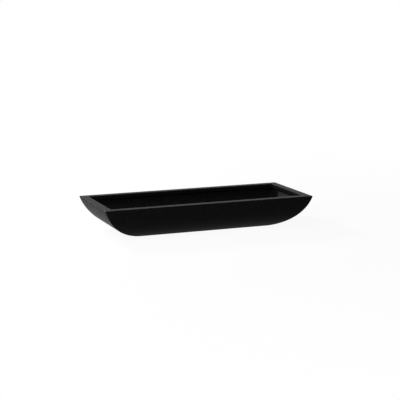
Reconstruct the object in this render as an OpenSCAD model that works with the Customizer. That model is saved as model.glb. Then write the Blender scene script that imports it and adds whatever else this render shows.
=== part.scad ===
// Low rectangular planter with a boat-shaped hull: a stone-composite shell with a turned-in rim,
// a glass-fibre lining bonded inside it, rubber drain plugs and rubber feet.
// Origin: centre of the ground under the feet. X runs along the length, Z up.

/* [Overall size] */
// Length over the rim
length = 600; // [540:5:700]
// Width over the rim
width = 245; // [220:1:300]
// Height of the shell, from its underside to the top of the rim
height = 85.5; // [70:0.5:105]

/* [Hull] */
// Length of the flat underside, between the lower edges of the curved ends
base_length = 376; // [320:2:400]
// Width of the flat underside, between the lower edges of the long walls
base_width = 135; // [110:1:160]
// Lean of the ends at the rim, in degrees from vertical
end_lean = 18.5; // [15:0.5:30]
// Lean of the long walls at the rim, in degrees from vertical
side_lean = 5.5; // [2:0.5:15]

/* [Rim] */
// Width of the flat top of the rim
rim_width = 22.5; // [18:0.5:30]
// Depth of the lip that hangs from the rim's inner edge
lip_depth = 11; // [10:0.5:20]

/* [Layers] */
// Thickness of the stone-composite shell
shell_thickness = 3.5; // [2.5:0.5:4.5]
// Thickness of the glass-fibre lining
lining_thickness = 3.5; // [2:0.5:4.5]

/* [Drains] */
// Diameter of the drain holes
drain_diameter = 22; // [16:1:30]
// Distance between the centres of the two drain holes
drain_spacing = 200; // [120:5:260]
// Gap all round between a plug's stem and its hole
plug_clearance = 0.1; // [0.05:0.05:0.3]
// How far a plug's flange reaches past the edge of its hole
plug_flange_reach = 6; // [3:0.5:10]
// Thickness of a plug's flange
plug_flange_thickness = 4; // [2.5:0.5:6]
// Height of the grip that stands on a plug's flange
plug_grip_height = 10; // [6:0.5:14]
// Thickness of that grip
plug_grip_thickness = 5; // [3:0.5:8]

/* [Feet] */
// Diameter of a foot
foot_diameter = 25; // [16:1:32]
// Height of a foot, and so of the gap under the shell
foot_height = 3; // [2:0.5:6]
// Distance from a foot to the edges of the flat underside
foot_margin = 12; // [6:1:20]
// Bevel on the moulded edges of the rubber pieces
rubber_bevel = 0.8; // [0.3:0.1:1.2]

/* [Hidden] */
$fn = 128;

// How far cutting shapes run into the open past the faces that they cut
overrun = 1;

// Each wall is an arc that starts at the rim with its lean and ends at the edge of the underside.
// Its radius follows from how far the wall spreads on its way up.
function arc_radius(spread, lean) = norm([spread, height]) / (2 * sin(atan2(spread, height) - lean));
function arc_centre(rim_half, radius, lean) = [rim_half - radius * cos(lean), height + radius * sin(lean)];
end_radius = arc_radius((length - base_length) / 2, end_lean);
end_centre = arc_centre(length / 2, end_radius, end_lean);
side_radius = arc_radius((width - base_width) / 2, side_lean);
side_centre = arc_centre(width / 2, side_radius, side_lean);

// Levels above the shell's underside
wall_thickness = shell_thickness + lining_thickness;
lip_level = height - lip_depth;
rim_skin_level = height - shell_thickness;
ledge_level = lip_level + lining_thickness;

// Drain plugs
drain_x = drain_spacing / 2;
stem_radius = drain_diameter / 2 - plug_clearance;
flange_radius = drain_diameter / 2 + plug_flange_reach;
flange_top = wall_thickness + plug_flange_thickness;

// Feet
foot_x = base_length / 2 - foot_margin - foot_diameter / 2;
foot_y = base_width / 2 - foot_margin - foot_diameter / 2;

// Colours
shell_colour = [0.07, 0.07, 0.07];
lining_colour = [0.05, 0.05, 0.05];
filler_colour = [0.45, 0.44, 0.42];
rubber_colour = [0.11, 0.11, 0.11];

// Half of an upright section through the hull, from its middle to one wall, set in from the outer face:
// a plain stretch as far as the centre of the wall's arc, then the arc above the floor
module half_section(centre, radius, inset, top) {
    arc_start = max(centre.x, 0);
    if (arc_start > 0)
        translate([0, inset])
            square([arc_start, top - inset]);
    intersection() {
        translate(centre)
            circle(r = radius - inset);
        translate([arc_start, inset])
            square([radius, top - inset]);
    }
}

// The whole section, drawn as two mirrored halves and swept to a bar of the given length
module section_bar(centre, radius, inset, top, bar_length) {
    linear_extrude(height = bar_length, center = true) {
        half_section(centre, radius, inset, top);
        mirror([1, 0])
            half_section(centre, radius, inset, top);
    }
}

// Solid hull up to a level, set in from the outer face all round
module hull_block(inset, top) {
    intersection() {
        rotate([90, 0, 0])
            section_bar(end_centre, end_radius, inset, top, width + 2 * overrun);
        rotate([90, 0, 90])
            section_bar(side_centre, side_radius, inset, top, length + 2 * overrun);
    }
}

// Upright block in the planter's mouth, from one level to another and wider than the mouth by grow all round
module mouth_block(grow, bottom, top) {
    translate([rim_width - grow - length / 2, rim_width - grow - width / 2, bottom])
        cube([length - 2 * (rim_width - grow), width - 2 * (rim_width - grow), top - bottom]);
}

// Both drain holes, right through the base
module drain_holes() {
    for (side = [-1, 1])
        translate([side * drain_x, 0, -overrun])
            cylinder(d = drain_diameter, h = wall_thickness + 2 * overrun);
}

// Raises a piece that is drawn from the shell's underside onto the feet
module on_feet() {
    translate([0, 0, foot_height])
        children();
}

// Moulded outer skin: base, curved walls, flat rim and the lip that turns down inside it
module shell() {
    color(shell_colour)
        on_feet()
            difference() {
                hull_block(0, height);
                difference() {
                    hull_block(shell_thickness, rim_skin_level);
                    mouth_block(shell_thickness, lip_level, height);
                }
                mouth_block(0, lip_level - overrun, height + overrun);
                drain_holes();
            }
}

// Laminate on the inside of the shell, carried up the walls and out to the lip under the rim
module fibre_lining() {
    color(lining_colour)
        on_feet()
            difference() {
                hull_block(shell_thickness, ledge_level);
                hull_block(wall_thickness, lip_level);
                mouth_block(shell_thickness, lip_level - overrun, height);
                drain_holes();
            }
}

// Paste that fills the rim between the shell's skin and the lining's ledge
module rim_filler() {
    color(filler_colour)
        on_feet()
            difference() {
                hull_block(shell_thickness, rim_skin_level);
                translate([-length / 2, -width / 2, 0])
                    cube([length, width, ledge_level]);
                mouth_block(shell_thickness, 0, height);
            }
}

// Bung with a stem in the drain hole, a flange on the lining and a grip to pull it by
module drain_plug(side) {
    color(rubber_colour)
        on_feet()
            translate([side * drain_x, 0, 0]) {
                rotate_extrude()
                    polygon([
                        [0, 0],
                        [stem_radius - rubber_bevel, 0],
                        [stem_radius, rubber_bevel],
                        [stem_radius, wall_thickness],
                        [flange_radius, wall_thickness],
                        [flange_radius, flange_top - rubber_bevel],
                        [flange_radius - rubber_bevel, flange_top],
                        [0, flange_top]
                    ]);
                translate([0, 0, flange_top])
                    plug_grip();
            }
}

// Half-round fin across the top of a plug
module plug_grip() {
    rotate([90, 0, 0])
        linear_extrude(height = plug_grip_thickness, center = true)
            intersection() {
                circle(r = plug_grip_height);
                translate([-plug_grip_height, 0])
                    square([2 * plug_grip_height, plug_grip_height]);
            }
}

// Round rubber pad under one corner of the flat underside
module foot(side_x, side_y) {
    color(rubber_colour)
        translate([side_x * foot_x, side_y * foot_y, 0])
            rotate_extrude()
                polygon([
                    [0, 0],
                    [foot_diameter / 2 - rubber_bevel, 0],
                    [foot_diameter / 2, rubber_bevel],
                    [foot_diameter / 2, foot_height],
                    [0, foot_height]
                ]);
}

shell();
fibre_lining();
rim_filler();
drain_plug(-1);  // drain_plug_left
drain_plug(1);  // drain_plug_right
foot(-1, -1);  // foot_front_left
foot(1, -1);  // foot_front_right
foot(-1, 1);  // foot_back_left
foot(1, 1);  // foot_back_right
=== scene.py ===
# Looks of a low rectangular planter: a black stone-composite shell, fibre lining, drain plugs and feet.
# All lengths are in metres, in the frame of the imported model.
import math
from dataclasses import dataclass

import bmesh
import bpy
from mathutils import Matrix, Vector, noise

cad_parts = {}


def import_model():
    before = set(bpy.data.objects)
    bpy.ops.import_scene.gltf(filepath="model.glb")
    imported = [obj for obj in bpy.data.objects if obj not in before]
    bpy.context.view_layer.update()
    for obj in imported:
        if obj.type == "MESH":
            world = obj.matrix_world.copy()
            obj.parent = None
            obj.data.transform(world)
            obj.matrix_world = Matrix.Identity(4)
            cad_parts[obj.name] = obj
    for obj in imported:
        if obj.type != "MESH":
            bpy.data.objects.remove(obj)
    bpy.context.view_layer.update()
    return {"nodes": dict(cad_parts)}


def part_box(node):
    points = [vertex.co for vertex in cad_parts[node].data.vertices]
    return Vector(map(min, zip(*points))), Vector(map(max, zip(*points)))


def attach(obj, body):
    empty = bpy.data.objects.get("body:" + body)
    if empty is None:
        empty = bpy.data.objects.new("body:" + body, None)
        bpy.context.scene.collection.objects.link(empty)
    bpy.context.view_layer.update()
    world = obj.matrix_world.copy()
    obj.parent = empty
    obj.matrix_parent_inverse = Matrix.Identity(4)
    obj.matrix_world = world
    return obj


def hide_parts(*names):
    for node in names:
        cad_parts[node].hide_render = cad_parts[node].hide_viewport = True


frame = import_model()

# Sizes that the frame gives
shell_low, shell_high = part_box("shell")
UNDERSIDE = Vector((0, 0, shell_low.z))
HALF_LENGTH = shell_high.x
HALF_WIDTH = shell_high.y
HEIGHT = shell_high.z - shell_low.z

# Sizes of the hull that the boxes of its nodes don't give
BASE_LENGTH = 0.376
BASE_WIDTH = 0.135
END_LEAN = math.radians(18.5)
SIDE_LEAN = math.radians(5.5)
RIM_WIDTH = 0.0225
LIP_DEPTH = 0.011
SHELL_THICKNESS = 0.0035
LINING_THICKNESS = 0.0035
WALL_THICKNESS = SHELL_THICKNESS + LINING_THICKNESS
DRAIN_RADIUS = 0.011

# Levels above the shell's underside
LIP_LEVEL = HEIGHT - LIP_DEPTH
RIM_SKIN_LEVEL = HEIGHT - SHELL_THICKNESS
LEDGE_LEVEL = LIP_LEVEL + LINING_THICKNESS

# Half sizes of the mouth between the lips
MOUTH_X = HALF_LENGTH - RIM_WIDTH
MOUTH_Y = HALF_WIDTH - RIM_WIDTH

# Roundings of the moulded edges
CORNER_ROUND = 0.0026
RIM_ROUND = 0.0022
LIP_ROUND = 0.0006
MOUTH_CORNER = 0.003
INNER_CORNER = 0.005
HIDDEN_CORNER = 0.001
LEDGE_FILLET = 0.0015
DRAIN_ROUND = 0.0006
OUTER_BLEND_HEIGHT = 0.0005
FLOOR_BLEND_HEIGHT = 0.006

# Distance from a rounding to the loop that keeps the face beside it flat
SUPPORT = 0.0008

# How worn the edges are, and so how much painted highlight they carry, from 0 to 1: the base's, the rim's
# outer one, and the start of the rim's inner one
BASE_WEAR_AND_HIGHLIGHT = 0.4
RIM_WEAR_AND_HIGHLIGHT = 1.0
MOUTH_WEAR_AND_HIGHLIGHT = 0.6

# How the hand-laid inner face of the lining wavers
WAVER_DEPTH = 0.0007
WAVERS_PER_METRE = 24.0
WAVER_OCTAVES = 2
WAVER_FALLOFF = 1.0
WAVER_LACUNARITY = 2.0

# How finely the meshes are divided
CORNER_STEPS = 5
LONG_STEPS = 44
SHORT_STEPS = 18
ROUND_STEPS = 5
WALL_STEPS = 26
HIDDEN_STEPS = 10
TURNED_STEPS = 64

# Edges that turn more than this stay crisp
SMOOTH_ANGLE = math.radians(40)


# Curves of the walls

class WallArc:
    """Arc of one wall in an upright section: from the rim, with its lean, to the edge of the underside."""

    def __init__(self, rim_half, base_half, lean):
        spread = rim_half - base_half
        self.radius = math.hypot(spread, HEIGHT) / (2 * math.sin(math.atan2(spread, HEIGHT) - lean))
        self.across = rim_half - self.radius * math.cos(lean)
        self.up = HEIGHT + self.radius * math.sin(lean)

    def half(self, level, inset=0.0):
        """Half size of the hull at a level, set in from the outer face."""
        return self.across + math.sqrt((self.radius - inset) ** 2 - (self.up - level) ** 2)

    def level(self, turn, inset):
        """Level at an angle from the arc's lowest point."""
        return self.up - (self.radius - inset) * math.cos(turn)

    def turn(self, level, inset):
        """Angle from the arc's lowest point at a level."""
        return math.acos((self.up - level) / (self.radius - inset))


END = WallArc(HALF_LENGTH, BASE_LENGTH / 2, END_LEAN)
SIDE = WallArc(HALF_WIDTH, BASE_WIDTH / 2, SIDE_LEAN)


def wall_levels(low, high, inset, steps):
    """Levels from low to high, evenly spaced along the end's arc."""
    first, last = END.turn(low, inset), END.turn(high, inset)
    return [END.level(first + (last - first) * i / steps, inset) for i in range(steps + 1)]


# Mesh building

@dataclass
class Ring:
    """A level rounded rectangle that a loft passes through, with how worn the surface is there and how much
    painted highlight it carries.
    """

    half_x: float
    half_y: float
    corner: float
    level: float
    wear_and_highlight: float = 0.0

    def points(self, origin, long_steps, short_steps):
        """Points of the outline, anticlockwise from +X, the same number for every ring of a loft."""
        inner_x, inner_y = self.half_x - self.corner, self.half_y - self.corner
        centres = ((inner_x, inner_y), (-inner_x, inner_y), (-inner_x, -inner_y), (inner_x, -inner_y))
        arcs = []
        for quarter, (x, y) in enumerate(centres):
            angles = [math.pi / 2 * (quarter + i / CORNER_STEPS) for i in range(CORNER_STEPS + 1)]
            arcs.append([Vector((x + self.corner * math.cos(a), y + self.corner * math.sin(a)))
                         for a in angles])
        outline = []
        for quarter, arc in enumerate(arcs):
            outline += arc
            steps = long_steps if quarter % 2 == 0 else short_steps
            following = arcs[(quarter + 1) % 4][0]
            outline += [arc[-1].lerp(following, i / steps) for i in range(1, steps)]
        return [origin + Vector((p.x, p.y, self.level)) for p in outline]


def new_bmesh():
    """Empty mesh whose vertices carry how worn they are and how much painted highlight they get."""
    bm = bmesh.new()
    bm.verts.layers.float.new("wear_and_highlight")
    return bm


def add_loop(bm, points, wear_and_highlight=0.0):
    """Vertices of one closed loop, marked with how worn they are and how much painted highlight they get."""
    layer = bm.verts.layers.float["wear_and_highlight"]
    verts = [bm.verts.new(p) for p in points]
    for v in verts:
        v[layer] = wear_and_highlight
    return verts


def skin(bm, loops):
    """Quads between each loop and the next; gives the loops back."""
    for first, second in zip(loops, loops[1:]):
        for i, v in enumerate(first):
            j = (i + 1) % len(first)
            bm.faces.new((v, first[j], second[j], second[i]))
    return loops


def loft(bm, rings, origin, long_steps, short_steps):
    """Surface through a list of rings; gives its loops."""
    loops = [add_loop(bm, ring.points(origin, long_steps, short_steps), ring.wear_and_highlight) for ring in rings]
    return skin(bm, loops)


def circle(centre, radius):
    """Points of a level circle."""
    angles = [2 * math.pi * i / TURNED_STEPS for i in range(TURNED_STEPS)]
    return [centre + Vector((radius * math.cos(a), radius * math.sin(a), 0)) for a in angles]


def lathe(bm, profile, origin):
    """Turned surface round an upright axis, from a profile of radius and height; gives its loops."""
    loops = [add_loop(bm, circle(origin + Vector((0, 0, z)), radius)) for radius, z in profile]
    return skin(bm, loops)


def loop_edges(bm, loop):
    """Edges round a closed loop, made where there are none."""
    pairs = [(v, loop[(i + 1) % len(loop)]) for i, v in enumerate(loop)]
    return [bm.edges.get(pair) or bm.edges.new(pair) for pair in pairs]


def fill(bm, *loops):
    """Flat face inside the first loop, with the other loops as holes."""
    edges = [edge for loop in loops for edge in loop_edges(bm, loop)]
    bmesh.ops.triangle_fill(bm, use_beauty=True, use_dissolve=False, edges=edges)


def finish_piece(bm, name, stands_for, body, surface):
    """Object of a mesh, with smooth shading, its material and its place in the model."""
    bmesh.ops.recalc_face_normals(bm, faces=bm.faces)
    mesh = bpy.data.meshes.new(name)
    bm.to_mesh(mesh)
    bm.free()
    mesh.shade_smooth()
    mesh.set_sharp_from_angle(angle=SMOOTH_ANGLE)
    mesh.materials.append(surface)
    piece = bpy.data.objects.new(name, mesh)
    bpy.context.scene.collection.objects.link(piece)
    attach(piece, body)
    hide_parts(stands_for)


# Hull

def hull_ring(level, inset, corner):
    """Ring round the hull at a level, set in from the outer face."""
    return Ring(END.half(level, inset), SIDE.half(level, inset), corner, level)


def mouth_ring(grow, level, wear_and_highlight=0.0):
    """Ring round the mouth, wider than it by grow."""
    return Ring(MOUTH_X + grow, MOUTH_Y + grow, MOUTH_CORNER + grow, level, wear_and_highlight)


def blend_rings(inset, height, corner, wear_and_highlight=0.0):
    """Rings that round the edge between the flat floor and the walls, from the floor up."""
    top = inset + height

    def curve(arc, t):
        edge, end = arc.half(inset, inset), arc.half(top, inset)
        start = edge - math.hypot(end - edge, height)
        return (1 - t) ** 2 * start + 2 * t * (1 - t) * edge + t ** 2 * end

    steps = [i / ROUND_STEPS for i in range(ROUND_STEPS + 1)]
    return [Ring(curve(END, t), curve(SIDE, t), corner, inset + height * t ** 2, wear_and_highlight * t)
            for t in steps]


def quarter_steps():
    """Sine and cosine along a quarter turn, without its start."""
    angles = [math.pi / 2 * i / ROUND_STEPS for i in range(1, ROUND_STEPS + 1)]
    return [(math.sin(a), math.cos(a)) for a in angles]


def turned_in_rings(wall_top, inset, size, corner, wear_and_highlight=0.0):
    """Rings that turn the top of the walls inwards, from where the plain wall ends."""
    rings = []
    for sine, cosine in quarter_steps():
        level = wall_top + size * sine
        back = size * (1 - cosine)
        half_x = END.half(level, inset) - back
        half_y = SIDE.half(level, inset) - back
        rings.append(Ring(half_x, half_y, corner - back, level, wear_and_highlight * sine))
    return rings


def shell_rings():
    """From the underside up the outer walls, over the rim, down the lip and back inside to the floor."""
    rings = blend_rings(0.0, OUTER_BLEND_HEIGHT, CORNER_ROUND, BASE_WEAR_AND_HIGHLIGHT)
    wall_top = HEIGHT - RIM_ROUND
    levels = wall_levels(OUTER_BLEND_HEIGHT, wall_top, 0.0, WALL_STEPS)
    rings += [hull_ring(z, 0.0, CORNER_ROUND) for z in levels[1:]]
    rings += turned_in_rings(wall_top, 0.0, RIM_ROUND, CORNER_ROUND, RIM_WEAR_AND_HIGHLIGHT)
    top = rings[-1]
    rings.append(Ring(top.half_x - SUPPORT, top.half_y - SUPPORT, top.corner, HEIGHT))
    rings.append(mouth_ring(RIM_ROUND + SUPPORT, HEIGHT))
    rings.append(mouth_ring(RIM_ROUND, HEIGHT, MOUTH_WEAR_AND_HIGHLIGHT))
    rings += [mouth_ring(RIM_ROUND * (1 - sine), HEIGHT - RIM_ROUND * (1 - cosine), wear_and_highlight=cosine)
              for sine, cosine in quarter_steps()]
    rings.append(mouth_ring(0.0, HEIGHT - RIM_ROUND - SUPPORT))
    rings.append(mouth_ring(0.0, LIP_LEVEL + LIP_ROUND + SUPPORT))
    rings.append(mouth_ring(0.0, LIP_LEVEL + LIP_ROUND))
    rings += [mouth_ring(LIP_ROUND * (1 - cosine), LIP_LEVEL + LIP_ROUND * (1 - sine))
              for sine, cosine in quarter_steps()]
    rings.append(mouth_ring(SHELL_THICKNESS, LIP_LEVEL))
    rings.append(mouth_ring(SHELL_THICKNESS, RIM_SKIN_LEVEL))
    levels = wall_levels(SHELL_THICKNESS, RIM_SKIN_LEVEL, SHELL_THICKNESS, HIDDEN_STEPS)
    rings += [hull_ring(z, SHELL_THICKNESS, HIDDEN_CORNER) for z in reversed(levels)]
    return rings


def inner_face_rings():
    """From the floor of the lining up its walls and out under the rim to the lip."""
    rings = blend_rings(WALL_THICKNESS, FLOOR_BLEND_HEIGHT, INNER_CORNER)
    wall_bottom, wall_top = WALL_THICKNESS + FLOOR_BLEND_HEIGHT, LIP_LEVEL - LEDGE_FILLET
    levels = wall_levels(wall_bottom, wall_top, WALL_THICKNESS, WALL_STEPS)
    rings += [hull_ring(z, WALL_THICKNESS, INNER_CORNER) for z in levels[1:]]
    return rings + turned_in_rings(wall_top, WALL_THICKNESS, LEDGE_FILLET, INNER_CORNER)


def hidden_face_rings():
    """From the lining's edge behind the lip, back down along the inside of the shell."""
    levels = wall_levels(SHELL_THICKNESS, LEDGE_LEVEL, SHELL_THICKNESS, HIDDEN_STEPS)
    edge = [mouth_ring(SHELL_THICKNESS, LIP_LEVEL), mouth_ring(SHELL_THICKNESS, LEDGE_LEVEL)]
    return edge + [hull_ring(z, SHELL_THICKNESS, HIDDEN_CORNER) for z in reversed(levels)]


def drained_hull(rings):
    """Closed mesh through rings from one face of a drained floor to the other; gives its loops too."""
    bm = new_bmesh()
    loops = loft(bm, rings, UNDERSIDE, LONG_STEPS, SHORT_STEPS)
    first_level, last_level = rings[0].level, rings[-1].level
    rounded_level = first_level + math.copysign(DRAIN_ROUND, last_level - first_level)
    profile = [(DRAIN_RADIUS + DRAIN_ROUND, first_level),
               (DRAIN_RADIUS, rounded_level),
               (DRAIN_RADIUS, last_level)]
    bores = []
    for plug in ("drain_plug_left", "drain_plug_right"):
        low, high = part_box(plug)
        bores.append(lathe(bm, profile, UNDERSIDE + Vector(((low.x + high.x) / 2, 0, 0))))
    fill(bm, loops[0], *[bore[0] for bore in bores])
    fill(bm, loops[-1], *[bore[-1] for bore in bores])
    return bm, loops


def waver(bm, loops):
    """Makes the surface through the loops gently uneven, less so towards its first and last loop."""
    bm.normal_update()
    for i, loop in enumerate(loops):
        depth = WAVER_DEPTH * math.sin(math.pi * i / (len(loops) - 1))
        for v in loop:
            place = v.co * WAVERS_PER_METRE
            swell = noise.fractal(place, WAVER_FALLOFF, WAVER_LACUNARITY, WAVER_OCTAVES)
            v.co += v.normal * depth * swell


def stone_shell(surface):
    """Moulded skin that shows outside, with the rim and its lip."""
    bm, _ = drained_hull(shell_rings())
    finish_piece(bm, "stone_shell", "shell", "pot", surface)


def inner_lining(surface):
    """Hand-laid laminate on the inside of the shell."""
    inner_face = inner_face_rings()
    bm, loops = drained_hull(inner_face + hidden_face_rings())
    waver(bm, loops[:len(inner_face)])
    finish_piece(bm, "inner_lining", "fibre_lining", "pot", surface)


# Rubber pieces

# Stem and flange of a plug, with the bead on the flange
PLUG_CLEARANCE = 0.0001
STEM_RADIUS = DRAIN_RADIUS - PLUG_CLEARANCE
STEM_CHAMFER = 0.0008
FLANGE_ROUND = 0.0012
BEAD_RADIUS = 0.0135
BEAD_HEIGHT = 0.0005
BEAD_HALF_BASE = 0.001
BEAD_HALF_TOP = 0.00025

# Grip of a plug: how it flares into the flange, thins towards its crown and is divided
GRIP_THICKNESS = 0.005
GRIP_HEIGHT = 0.010
GRIP_FLARE = 0.0012
GRIP_FLARE_HEIGHT = 0.0017
GRIP_CROWN = 0.55
GRIP_CROWN_POWER = 6
GRIP_CORNER_SHARE = 0.9
GRIP_LAST_TURN = math.radians(88)
GRIP_CROWDING = 1.5
GRIP_STEPS = 16
GRIP_LONG_STEPS = 8
GRIP_SHORT_STEPS = 3

# Feet, with the radii of the grooves in their undersides
FOOT_ROUND = 0.0012
FOOT_GROOVES = (0.0042, 0.0082)
GROOVE_HALF_MOUTH = 0.0012
GROOVE_HALF_BED = 0.0006
GROOVE_DEPTH = 0.0005


def base_centre(low, high):
    """Middle of the underside of a box."""
    return Vector(((low.x + high.x) / 2, (low.y + high.y) / 2, low.z))


def rounded(centre_radius, centre_z, size, start_degrees, end_degrees):
    """Points of a rounded edge in a turned profile."""
    sweep = end_degrees - start_degrees
    angles = [math.radians(start_degrees + sweep * i / ROUND_STEPS) for i in range(ROUND_STEPS + 1)]
    return [(centre_radius + size * math.cos(a), centre_z + size * math.sin(a)) for a in angles]


def grip_rings():
    """Half-round fin that flares into the flange and thins towards its crown."""
    rings = []
    for i in range(GRIP_STEPS + 1):
        turn = GRIP_LAST_TURN * (i / GRIP_STEPS) ** GRIP_CROWDING
        rise = math.sin(turn)
        level = GRIP_HEIGHT * rise
        flare = GRIP_FLARE * max(0.0, 1 - level / GRIP_FLARE_HEIGHT) ** 2
        half_x = GRIP_HEIGHT * math.cos(turn) + flare
        half_y = GRIP_THICKNESS / 2 * (1 - GRIP_CROWN * rise ** GRIP_CROWN_POWER) + flare
        rings.append(Ring(half_x, half_y, GRIP_CORNER_SHARE * min(half_x, half_y), level))
    return rings


def drain_plug(name, body, surface):
    """Rubber bung with a rounded flange, a low bead on it and a half-round grip."""
    low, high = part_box(name)
    origin = base_centre(low, high)
    flange_edge = (high.x - low.x) / 2 - FLANGE_ROUND
    flange_top = high.z - low.z - GRIP_HEIGHT
    profile = [(STEM_RADIUS - STEM_CHAMFER, 0.0),
               (STEM_RADIUS, STEM_CHAMFER),
               (STEM_RADIUS, WALL_THICKNESS)]
    profile += rounded(flange_edge, WALL_THICKNESS + FLANGE_ROUND, FLANGE_ROUND, -90, 0)
    profile += rounded(flange_edge, flange_top - FLANGE_ROUND, FLANGE_ROUND, 0, 90)
    profile += [(BEAD_RADIUS + BEAD_HALF_BASE, flange_top),
                (BEAD_RADIUS + BEAD_HALF_TOP, flange_top + BEAD_HEIGHT),
                (BEAD_RADIUS - BEAD_HALF_TOP, flange_top + BEAD_HEIGHT),
                (BEAD_RADIUS - BEAD_HALF_BASE, flange_top)]
    bm = new_bmesh()
    bung = lathe(bm, profile, origin)
    grip_origin = origin + Vector((0, 0, flange_top))
    grip = loft(bm, grip_rings(), grip_origin, GRIP_LONG_STEPS, GRIP_SHORT_STEPS)
    bm.faces.new(bung[0])
    fill(bm, bung[-1], grip[0])
    bm.faces.new(grip[-1])
    finish_piece(bm, name + "_rubber", name, body, surface)


def foot(name, body, surface):
    """Rubber pad with a rounded tread edge and two ring grooves in its underside."""
    low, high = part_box(name)
    origin = base_centre(low, high)
    radius, height = (high.x - low.x) / 2, high.z - low.z
    profile = []
    for groove in FOOT_GROOVES:
        profile += [(groove - GROOVE_HALF_MOUTH, 0.0), (groove - GROOVE_HALF_BED, GROOVE_DEPTH),
                    (groove + GROOVE_HALF_BED, GROOVE_DEPTH), (groove + GROOVE_HALF_MOUTH, 0.0)]
    profile += rounded(radius - FOOT_ROUND, FOOT_ROUND, FOOT_ROUND, -90, 0)
    profile.append((radius, height))
    bm = new_bmesh()
    pad = lathe(bm, profile, origin)
    bm.faces.new(pad[0])
    bm.faces.new(pad[-1])
    finish_piece(bm, name + "_pad", name, body, surface)


# Materials

@dataclass
class Clouds:
    """A value that varies in clouds, from low to high over a span of the noise."""

    per_metre: float
    low: float
    high: float
    detail: float = 4.0
    span: tuple = (0.3, 0.7)


@dataclass
class Relief:
    """Bumps whose height varies in clouds."""

    per_metre: float
    detail: float
    depth: float
    strength: float


@dataclass
class Spots:
    """Round spots in a share of a pattern's cells, with their radius in cells."""

    per_metre: float
    radius: float
    share: float


CLOUD_ROUGHNESS = 0.55

# Stone composite of the shell, with mineral flecks and pinholes
STONE_TONE = Clouds(110.0, 0.003, 0.0051)
STONE_ROUGHNESS = Clouds(90.0, 0.35, 0.43)
STONE_SPECULAR = 0.0178
STONE_SWELL = Relief(14.0, 2.0, 0.002, 0.05)
STONE_GRAIN = Relief(900.0, 3.0, 0.0002, 0.5)
FLECKS = Spots(700.0, 0.24, 0.2)
FLECK_TONE = 0.02
PINHOLES = Spots(90.0, 0.06, 0.5)
PINHOLE_DEPTH = 0.0004
PINHOLE_STRENGTH = 0.8

# Handled edges of the shell: extra tone where they are worn, which is partly a painted highlight, its grain,
# and how much smoother they are
RUBBED_TONE_AND_HIGHLIGHT = Clouds(25.0, 0.0, 0.006, detail=2.0, span=(0.45, 0.65))
RUBBED_AND_HIGHLIGHT_GRAIN = Clouds(500.0, 0.0, 1.0, detail=2.0)
EDGE_BURNISH = 0.05

# Laminate of the lining
LINING_TONE = Clouds(55.0, 0.0039, 0.006)
LINING_ROUGHNESS = Clouds(70.0, 0.3, 0.38)
LINING_SPECULAR = 0.0067
LINING_SWELL = Relief(30.0, 2.0, 0.002, 0.2)

# Strands in the laminate: their directions in each plane, how many times longer than wide they are,
# the extra tone of those that show through, the span of ridges that do, and how they stand out
STRAND_TURNS = (0.25, 1.1, 1.9, 2.7)
STRAND_STRETCH = 14.0
STRANDS_PER_METRE = 420.0
STRAND_DETAIL = 1.0
STRAND_TONE = 0.005
STRAND_SPAN = (0.6, 0.8)
STRAND_DEPTH = 0.0005
STRAND_STRENGTH = 0.4

# Rubber of the plugs and feet
RUBBER_TONE = Clouds(180.0, 0.009, 0.017)
RUBBER_ROUGHNESS = Clouds(300.0, 0.58, 0.72)
RUBBER_SPECULAR = 0.25
RUBBER_GRAIN = Relief(1600.0, 2.0, 0.0001, 0.3)

# Paste inside the rim
FILLER_TONE = Clouds(400.0, 0.24, 0.40)
FILLER_ROUGHNESS = Clouds(200.0, 0.75, 0.9)
FILLER_GRAIN = Relief(700.0, 4.0, 0.0004, 0.5)


def node(tree, kind, inputs=None, **settings):
    """New node; an input is a value or another node's output."""
    made = tree.nodes.new(kind)
    for key, value in settings.items():
        setattr(made, key, value)
    for key, value in (inputs or {}).items():
        if isinstance(value, bpy.types.NodeSocket):
            tree.links.new(value, made.inputs[key])
        else:
            made.inputs[key].default_value = value
    return made


def new_material(name):
    """New node material with its tree, its shader and its object coordinates."""
    made = bpy.data.materials.new(name)
    made.use_nodes = True
    tree = made.node_tree
    shader = tree.nodes["Principled BSDF"]
    place = node(tree, "ShaderNodeTexCoord").outputs["Object"]
    return made, tree, shader, place


def combine(tree, operation, first, second):
    """Result of a sum, product or other operation on two values."""
    return node(tree, "ShaderNodeMath", {0: first, 1: second}, operation=operation).outputs[0]


def spread(tree, value, low, high, from_low, from_high):
    """Stretches a value from one span to another."""
    inputs = {"Value": value, "From Min": from_low, "From Max": from_high, "To Min": low, "To Max": high}
    return node(tree, "ShaderNodeMapRange", inputs).outputs["Result"]


def cloud(tree, place, scale, detail):
    """Cloudy noise, about 0.3 to 0.7."""
    inputs = {"Vector": place, "Scale": scale, "Detail": detail, "Roughness": CLOUD_ROUGHNESS}
    return node(tree, "ShaderNodeTexNoise", inputs).outputs["Fac"]


def clouded(tree, place, clouds):
    """Value that varies in clouds."""
    pattern = cloud(tree, place, clouds.per_metre, clouds.detail)
    return spread(tree, pattern, clouds.low, clouds.high, *clouds.span)


def dots(tree, place, spots):
    """One inside round spots, zero elsewhere."""
    cells = node(tree, "ShaderNodeTexVoronoi", {"Vector": place, "Scale": spots.per_metre}).outputs
    inside = spread(tree, cells["Distance"], 1.0, 0.0, spots.radius / 2, spots.radius)
    draw = node(tree, "ShaderNodeSeparateColor", {"Color": cells["Color"]}).outputs["Red"]
    return combine(tree, "MULTIPLY", inside, combine(tree, "LESS_THAN", draw, spots.share))


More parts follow.
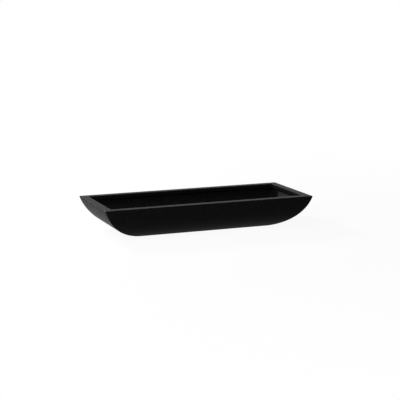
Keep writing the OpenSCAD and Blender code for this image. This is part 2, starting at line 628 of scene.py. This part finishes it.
def strands(tree, place):
    """Ridges of short fibres that lie all ways in the surface: each plane shows those that lie along it."""
    normal = node(tree, "ShaderNodeNewGeometry").outputs["Normal"]
    facing = node(tree, "ShaderNodeSeparateXYZ", {"Vector": normal}).outputs
    along = node(tree, "ShaderNodeSeparateXYZ", {"Vector": place}).outputs
    total = 0.0
    for axis, across, up in (("X", "Y", "Z"), ("Y", "X", "Z"), ("Z", "X", "Y")):
        inputs = {"X": along[across], "Y": along[up]}
        plane = node(tree, "ShaderNodeCombineXYZ", inputs).outputs["Vector"]
        ridges = 0.0
        for turn in STRAND_TURNS:
            inputs = {"Vector": plane, "Location": (turn, turn, 0.0), "Rotation": (0.0, 0.0, turn),
                      "Scale": (1.0, STRAND_STRETCH, 1.0)}
            stretched = node(tree, "ShaderNodeMapping", inputs, vector_type="TEXTURE").outputs["Vector"]
            ridge = cloud(tree, stretched, STRANDS_PER_METRE, STRAND_DETAIL)
            ridges = combine(tree, "MAXIMUM", ridges, ridge)
        share = combine(tree, "MULTIPLY", facing[axis], facing[axis])
        total = combine(tree, "ADD", total, combine(tree, "MULTIPLY", share, ridges))
    return total


def bump(tree, height, depth, strength, normal=None):
    """Normal of a surface with a height on it, over an earlier normal if there is one."""
    inputs = {"Height": height, "Distance": depth, "Strength": strength}
    if normal is not None:
        inputs["Normal"] = normal
    return node(tree, "ShaderNodeBump", inputs).outputs["Normal"]


def relief(tree, place, bumps, normal=None):
    """Normal of a surface with cloudy bumps."""
    height = cloud(tree, place, bumps.per_metre, bumps.detail)
    return bump(tree, height, bumps.depth, bumps.strength, normal)


def dress(tree, shader, tone, roughness, normal):
    """Gives a shader its neutral tone, its roughness and its normal."""
    inputs = {"Red": tone, "Green": tone, "Blue": tone}
    grey = node(tree, "ShaderNodeCombineColor", inputs).outputs["Color"]
    tree.links.new(grey, shader.inputs["Base Color"])
    tree.links.new(roughness, shader.inputs["Roughness"])
    tree.links.new(normal, shader.inputs["Normal"])


def stone_black():
    """Matt black stone composite: mottled, flecked and grained, with pinholes and lightly worn edges whose
    lighter tone is partly a painted highlight.
    """
    made, tree, shader, place = new_material("stone_black")
    wear_and_highlight = node(tree, "ShaderNodeAttribute", attribute_name="wear_and_highlight").outputs["Fac"]
    mottle = clouded(tree, place, STONE_TONE)
    flecks = combine(tree, "MULTIPLY", dots(tree, place, FLECKS), FLECK_TONE)
    # Lighter tone on the edges: partly worn paint, partly a painted highlight
    rub_and_highlight_patches = clouded(tree, place, RUBBED_TONE_AND_HIGHLIGHT)
    rub_and_highlight = combine(tree, "MULTIPLY", rub_and_highlight_patches, clouded(tree, place, RUBBED_AND_HIGHLIGHT_GRAIN))
    scuffs_and_highlight = combine(tree, "MULTIPLY", wear_and_highlight, rub_and_highlight)
    tone = combine(tree, "ADD", combine(tree, "ADD", mottle, flecks), scuffs_and_highlight)
    burnish = combine(tree, "MULTIPLY", wear_and_highlight, -EDGE_BURNISH)
    roughness = combine(tree, "ADD", clouded(tree, place, STONE_ROUGHNESS), burnish)
    grain = relief(tree, place, STONE_GRAIN, relief(tree, place, STONE_SWELL))
    solid = combine(tree, "SUBTRACT", 1.0, dots(tree, place, PINHOLES))
    dress(tree, shader, tone, roughness, bump(tree, solid, PINHOLE_DEPTH, PINHOLE_STRENGTH, grain))
    shader.inputs["Specular IOR Level"].default_value = STONE_SPECULAR
    return made


def lining_black():
    """Glass-fibre laminate sealed in matt black: short strands lie all ways under the coat."""
    made, tree, shader, place = new_material("lining_black")
    fibres = strands(tree, place)
    shown = spread(tree, fibres, 0.0, STRAND_TONE, *STRAND_SPAN)
    tone = combine(tree, "ADD", clouded(tree, place, LINING_TONE), shown)
    roughness = clouded(tree, place, LINING_ROUGHNESS)
    swell = relief(tree, place, LINING_SWELL)
    dress(tree, shader, tone, roughness, bump(tree, fibres, STRAND_DEPTH, STRAND_STRENGTH, swell))
    shader.inputs["Specular IOR Level"].default_value = LINING_SPECULAR
    return made


def rubber_black():
    """Moulded matt rubber with a fine grain and a trace of bloom."""
    made, tree, shader, place = new_material("rubber_black")
    tone = clouded(tree, place, RUBBER_TONE)
    roughness = clouded(tree, place, RUBBER_ROUGHNESS)
    dress(tree, shader, tone, roughness, relief(tree, place, RUBBER_GRAIN))
    shader.inputs["Specular IOR Level"].default_value = RUBBER_SPECULAR
    return made


def filler_grey():
    """Raw stone-filled paste inside the rim."""
    made, tree, shader, place = new_material("filler_grey")
    tone = clouded(tree, place, FILLER_TONE)
    roughness = clouded(tree, place, FILLER_ROUGHNESS)
    dress(tree, shader, tone, roughness, relief(tree, place, FILLER_GRAIN))
    return made


# Object

stone_shell(stone_black())
inner_lining(lining_black())
rubber = rubber_black()
for side in ("left", "right"):
    drain_plug("drain_plug_" + side, side + "_plug", rubber)
for corner in ("front_left", "front_right", "back_left", "back_right"):
    foot("foot_" + corner, "pot", rubber)
filler_slots = frame["nodes"]["rim_filler"].data.materials
filler_slots.clear()
filler_slots.append(filler_grey())


# Stage

WHITE = (1.0, 1.0, 1.0, 1.0)
FLOOR_HALF = 40.0
FLOOR_DROP = 0.0002
FLOOR_PAINT = (0.85, 0.85, 0.85, 1.0)

# Share of plain white in the floor near the object, and the distances over which the floor turns all white
FLOOR_GLOW_SHARE = 0.93
FLOOR_FADE = (0.6, 1.6)

# Strength of the surroundings as a light and as a background
WORLD_LIGHT = 0.08
WORLD_SHOWN = 1.0

# Name, place, side of the square and power of each lamp, and the point that they face
LAMPS = (
    ("softbox_left", Vector((-1.93, -0.42, 1.22)), 0.7, 28.0),
    ("softbox_back", Vector((-0.9, 1.96, 1.24)), 0.5, 67.0),
    ("softbox_front", Vector((-1.1, -2.45, 1.2)), 0.5, 27.0),
)
LIGHT_AIM = Vector((0, 0, 0.05))


def seen_ray(tree):
    """One for rays that show the background: those of the camera, and those that gloss or glass sends on."""
    path = node(tree, "ShaderNodeLightPath").outputs
    shown = combine(tree, "MAXIMUM", path["Is Camera Ray"], path["Is Glossy Ray"])
    return combine(tree, "MAXIMUM", shown, path["Is Transmission Ray"])


def floor_paint():
    """Pale paint that keeps the object's shadow and turns plain white further out; it is clear from below."""
    made = bpy.data.materials.new("pale_floor")
    made.use_nodes = True
    tree = made.node_tree
    tree.nodes.clear()
    paint = node(tree, "ShaderNodeBsdfDiffuse", {"Color": FLOOR_PAINT})
    glow = node(tree, "ShaderNodeEmission", {"Color": WHITE, "Strength": 1.0})
    place = node(tree, "ShaderNodeTexCoord").outputs["Object"]
    away = node(tree, "ShaderNodeVectorMath", {0: place}, operation="LENGTH").outputs["Value"]
    glow_share = spread(tree, away, FLOOR_GLOW_SHARE, 1.0, *FLOOR_FADE)
    share = combine(tree, "MULTIPLY", seen_ray(tree), glow_share)
    upper = node(tree, "ShaderNodeMixShader", {0: share, 1: paint.outputs[0], 2: glow.outputs[0]})
    from_below = node(tree, "ShaderNodeNewGeometry").outputs["Backfacing"]
    clear = node(tree, "ShaderNodeBsdfTransparent")
    both = node(tree, "ShaderNodeMixShader", {0: from_below, 1: upper.outputs[0], 2: clear.outputs[0]})
    node(tree, "ShaderNodeOutputMaterial", {"Surface": both.outputs[0]})
    return made


def floor():
    """Wide level floor, just under the feet."""
    bm = bmesh.new()
    bmesh.ops.create_grid(bm, x_segments=1, y_segments=1, size=FLOOR_HALF)
    mesh = bpy.data.meshes.new("floor")
    bm.to_mesh(mesh)
    bm.free()
    mesh.materials.append(floor_paint())
    plane = bpy.data.objects.new("floor", mesh)
    plane.location.z = -FLOOR_DROP
    bpy.context.scene.collection.objects.link(plane)


def world():
    """White surroundings, dimmer as a light than as a background."""
    made = bpy.data.worlds.new("studio")
    bpy.context.scene.world = made
    made.use_nodes = True
    tree = made.node_tree
    background = tree.nodes["Background"]
    strength = spread(tree, seen_ray(tree), WORLD_LIGHT, WORLD_SHOWN, 0.0, 1.0)
    tree.links.new(strength, background.inputs["Strength"])
    background.inputs["Color"].default_value = WHITE


def softbox(name, place, size, power):
    """Square area lamp that faces the object."""
    lamp = bpy.data.lights.new(name, "AREA")
    lamp.size = size
    lamp.energy = power
    made = bpy.data.objects.new(name, lamp)
    made.location = place
    made.rotation_euler = (LIGHT_AIM - place).to_track_quat("-Z", "Y").to_euler()
    made.visible_camera = False
    bpy.context.scene.collection.objects.link(made)


# Camera, where the photograph was taken from

LENS_PIXELS = 1176.5
IMAGE_PIXELS = 400
SENSOR_MM = 36.0
CAMERA_AZIMUTH = math.radians(-21.91)
CAMERA_ELEVATION = math.radians(10.59)
CAMERA_DISTANCE = 3.2633
AIM_RIGHT = 0.01107
AIM_UP = 0.03319
AIM_LEVEL = 0.040


def camera():
    """Camera that looks at a point a little beside and above the middle of the object."""
    back = Vector((math.sin(CAMERA_AZIMUTH) * math.cos(CAMERA_ELEVATION),
                   -math.cos(CAMERA_AZIMUTH) * math.cos(CAMERA_ELEVATION),
                   math.sin(CAMERA_ELEVATION)))
    right = Vector((0, 0, 1)).cross(back).normalized()
    aim = UNDERSIDE + Vector((0, 0, AIM_LEVEL)) + right * AIM_RIGHT + back.cross(right) * AIM_UP
    data = bpy.data.cameras.new("camera")
    data.sensor_width = SENSOR_MM
    data.lens = LENS_PIXELS / IMAGE_PIXELS * SENSOR_MM
    made = bpy.data.objects.new("camera", data)
    made.location = aim + back * CAMERA_DISTANCE
    made.rotation_euler = (-back).to_track_quat("-Z", "Y").to_euler()
    bpy.context.scene.collection.objects.link(made)
    bpy.context.scene.camera = made


floor()
world()
for lamp in LAMPS:
    softbox(*lamp)
camera()
bpy.context.scene.view_settings.view_transform = "Standard"
